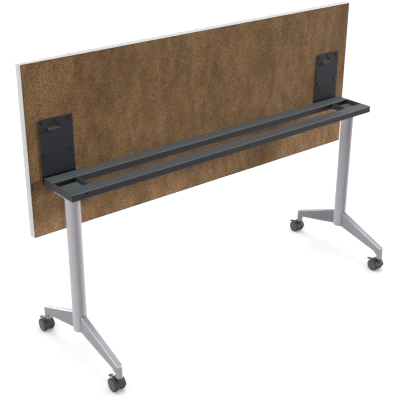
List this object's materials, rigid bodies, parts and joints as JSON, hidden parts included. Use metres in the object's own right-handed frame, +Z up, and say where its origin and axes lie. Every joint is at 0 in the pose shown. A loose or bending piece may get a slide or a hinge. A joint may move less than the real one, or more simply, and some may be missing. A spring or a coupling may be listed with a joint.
{
  "type": "flip-top training table",
  "caption": "Rectangular flip-top training table on two T-legs with twin-wheel casters, its top tipped upright for nesting and held level in use by sprung latches.",
  "frame": {"origin": "on the floor, midway between the two legs and under the middle of the rail frame", "axes": "+X along the table's length, +Y from the frame towards the tipped-up top's writing face, +Z up"},
  "size_m": [1.524, 0.5461, 1.0841],
  "materials": {
    "laminate": "satin",
    "backer": "matte",
    "core": "matte",
    "edge_band": "satin",
    "dark_steel": "satin powder coat",
    "silver_steel": "satin powder coat",
    "silver_plastic": "satin",
    "plain_steel": "zinc plated",
    "dark_screws": "blackened",
    "caster_plastic": "satin",
    "wheel_plastic": "satin"
  },
  "bodies": {
    "frame": {"front_rail": "dark_steel", "rear_rail": "dark_steel", "hinge_pin_clips": "plain_steel", "leg_bolts": "plain_steel", "caster_sockets": "plain_steel", "left_end_plate": "dark_steel", "left_cross_plate": "dark_steel", "left_floor_plate": "dark_steel", "left_hinge_block": "dark_steel", "left_hinge_pin": "plain_steel", "left_column": "silver_steel", "left_column_plate": "silver_steel", "left_column_plug": "silver_plastic", "left_front_foot": "silver_steel", "left_rear_foot": "silver_steel", "left_front_caster_stem": "plain_steel", "left_rear_caster_stem": "plain_steel", "right_end_plate": "dark_steel", "right_cross_plate": "dark_steel", "right_floor_plate": "dark_steel", "right_hinge_block": "dark_steel", "right_hinge_pin": "plain_steel", "right_column": "silver_steel", "right_column_plate": "silver_steel", "right_column_plug": "silver_plastic", "right_front_foot": "silver_steel", "right_rear_foot": "silver_steel", "right_front_caster_stem": "plain_steel", "right_rear_caster_stem": "plain_steel"},
    "top": {"top_core": "core", "top_laminate": "laminate", "top_backer": "backer", "top_edge_band": "edge_band", "hinge_plate_screws": "dark_screws", "left_hinge_plate": "dark_steel", "left_latch_spring": "plain_steel", "right_hinge_plate": "dark_steel", "right_latch_spring": "plain_steel"},
    "left_latch": {"left_latch_slide": "plain_steel"},
    "left_front_caster": {"left_front_caster_housing": "caster_plastic", "left_front_caster_axle": "plain_steel"},
    "left_front_left_wheel_body": {"left_front_left_wheel": "wheel_plastic"},
    "left_front_right_wheel_body": {"left_front_right_wheel": "wheel_plastic"},
    "left_front_brake": {"left_front_brake_lever": "caster_plastic"},
    "left_rear_caster": {"left_rear_caster_housing": "caster_plastic", "left_rear_caster_axle": "plain_steel"},
    "left_rear_left_wheel_body": {"left_rear_left_wheel": "wheel_plastic"},
    "left_rear_right_wheel_body": {"left_rear_right_wheel": "wheel_plastic"},
    "left_rear_brake": {"left_rear_brake_lever": "caster_plastic"},
    "right_latch": {"right_latch_slide": "plain_steel"},
    "right_front_caster": {"right_front_caster_housing": "caster_plastic", "right_front_caster_axle": "plain_steel"},
    "right_front_left_wheel_body": {"right_front_left_wheel": "wheel_plastic"},
    "right_front_right_wheel_body": {"right_front_right_wheel": "wheel_plastic"},
    "right_front_brake": {"right_front_brake_lever": "caster_plastic"},
    "right_rear_caster": {"right_rear_caster_housing": "caster_plastic", "right_rear_caster_axle": "plain_steel"},
    "right_rear_left_wheel_body": {"right_rear_left_wheel": "wheel_plastic"},
    "right_rear_right_wheel_body": {"right_rear_right_wheel": "wheel_plastic"},
    "right_rear_brake": {"right_rear_brake_lever": "caster_plastic"}
  },
  "joints": [
    {"name": "top_flip", "type": "hinge", "parent": "frame", "child": "top", "pos_m": [0, 0.0849, 0.6743], "axis": [1, 0, 0], "range_deg": [0, 90]},
    {"name": "left_latch_pull", "type": "slide", "parent": "top", "child": "left_latch", "axis": [0, 0, 1], "range_m": [0, 0.008], "stiffness_N_per_m": 400, "springref_m": -0.01, "deforming": ["left_latch_spring"]},
    {"name": "left_front_swivel", "type": "hinge", "parent": "frame", "child": "left_front_caster", "pos_m": [-0.6712, -0.2477, 0.045], "axis": [0, 0, 1], "continuous": true},
    {"name": "left_front_left_wheel_spin", "type": "hinge", "parent": "left_front_caster", "child": "left_front_left_wheel_body", "pos_m": [-0.6712, -0.2297, 0.0254], "axis": [1, 0, 0], "continuous": true},
    {"name": "left_front_right_wheel_spin", "type": "hinge", "parent": "left_front_caster", "child": "left_front_right_wheel_body", "pos_m": [-0.6712, -0.2297, 0.0254], "axis": [1, 0, 0], "continuous": true},
    {"name": "left_front_brake_press", "type": "hinge", "parent": "left_front_caster", "child": "left_front_brake", "pos_m": [-0.6712, -0.2217, 0.0464], "axis": [1, 0, 0], "range_deg": [-15, 0]},
    {"name": "left_rear_swivel", "type": "hinge", "parent": "frame", "child": "left_rear_caster", "pos_m": [-0.6712, 0.2287, 0.045], "axis": [0, 0, 1], "continuous": true},
    {"name": "left_rear_left_wheel_spin", "type": "hinge", "parent": "left_rear_caster", "child": "left_rear_left_wheel_body", "pos_m": [-0.6712, 0.2467, 0.0254], "axis": [1, 0, 0], "continuous": true},
    {"name": "left_rear_right_wheel_spin", "type": "hinge", "parent": "left_rear_caster", "child": "left_rear_right_wheel_body", "pos_m": [-0.6712, 0.2467, 0.0254], "axis": [1, 0, 0], "continuous": true},
    {"name": "left_rear_brake_press", "type": "hinge", "parent": "left_rear_caster", "child": "left_rear_brake", "pos_m": [-0.6712, 0.2547, 0.0464], "axis": [1, 0, 0], "range_deg": [-15, 0]},
    {"name": "right_latch_pull", "type": "slide", "parent": "top", "child": "right_latch", "axis": [0, 0, 1], "range_m": [0, 0.008], "stiffness_N_per_m": 400, "springref_m": -0.01, "deforming": ["right_latch_spring"]},
    {"name": "right_front_swivel", "type": "hinge", "parent": "frame", "child": "right_front_caster", "pos_m": [0.6712, -0.2477, 0.045], "axis": [0, 0, 1], "continuous": true},
    {"name": "right_front_left_wheel_spin", "type": "hinge", "parent": "right_front_caster", "child": "right_front_left_wheel_body", "pos_m": [0.6712, -0.2297, 0.0254], "axis": [1, 0, 0], "continuous": true},
    {"name": "right_front_right_wheel_spin", "type": "hinge", "parent": "right_front_caster", "child": "right_front_right_wheel_body", "pos_m": [0.6712, -0.2297, 0.0254], "axis": [1, 0, 0], "continuous": true},
    {"name": "right_front_brake_press", "type": "hinge", "parent": "right_front_caster", "child": "right_front_brake", "pos_m": [0.6712, -0.2217, 0.0464], "axis": [1, 0, 0], "range_deg": [-15, 0]},
    {"name": "right_rear_swivel", "type": "hinge", "parent": "frame", "child": "right_rear_caster", "pos_m": [0.6712, 0.2287, 0.045], "axis": [0, 0, 1], "continuous": true},
    {"name": "right_rear_left_wheel_spin", "type": "hinge", "parent": "right_rear_caster", "child": "right_rear_left_wheel_body", "pos_m": [0.6712, 0.2467, 0.0254], "axis": [1, 0, 0], "continuous": true},
    {"name": "right_rear_right_wheel_spin", "type": "hinge", "parent": "right_rear_caster", "child": "right_rear_right_wheel_body", "pos_m": [0.6712, 0.2467, 0.0254], "axis": [1, 0, 0], "continuous": true},
    {"name": "right_rear_brake_press", "type": "hinge", "parent": "right_rear_caster", "child": "right_rear_brake", "pos_m": [0.6712, 0.2547, 0.0464], "axis": [1, 0, 0], "range_deg": [-15, 0]}
  ]
}
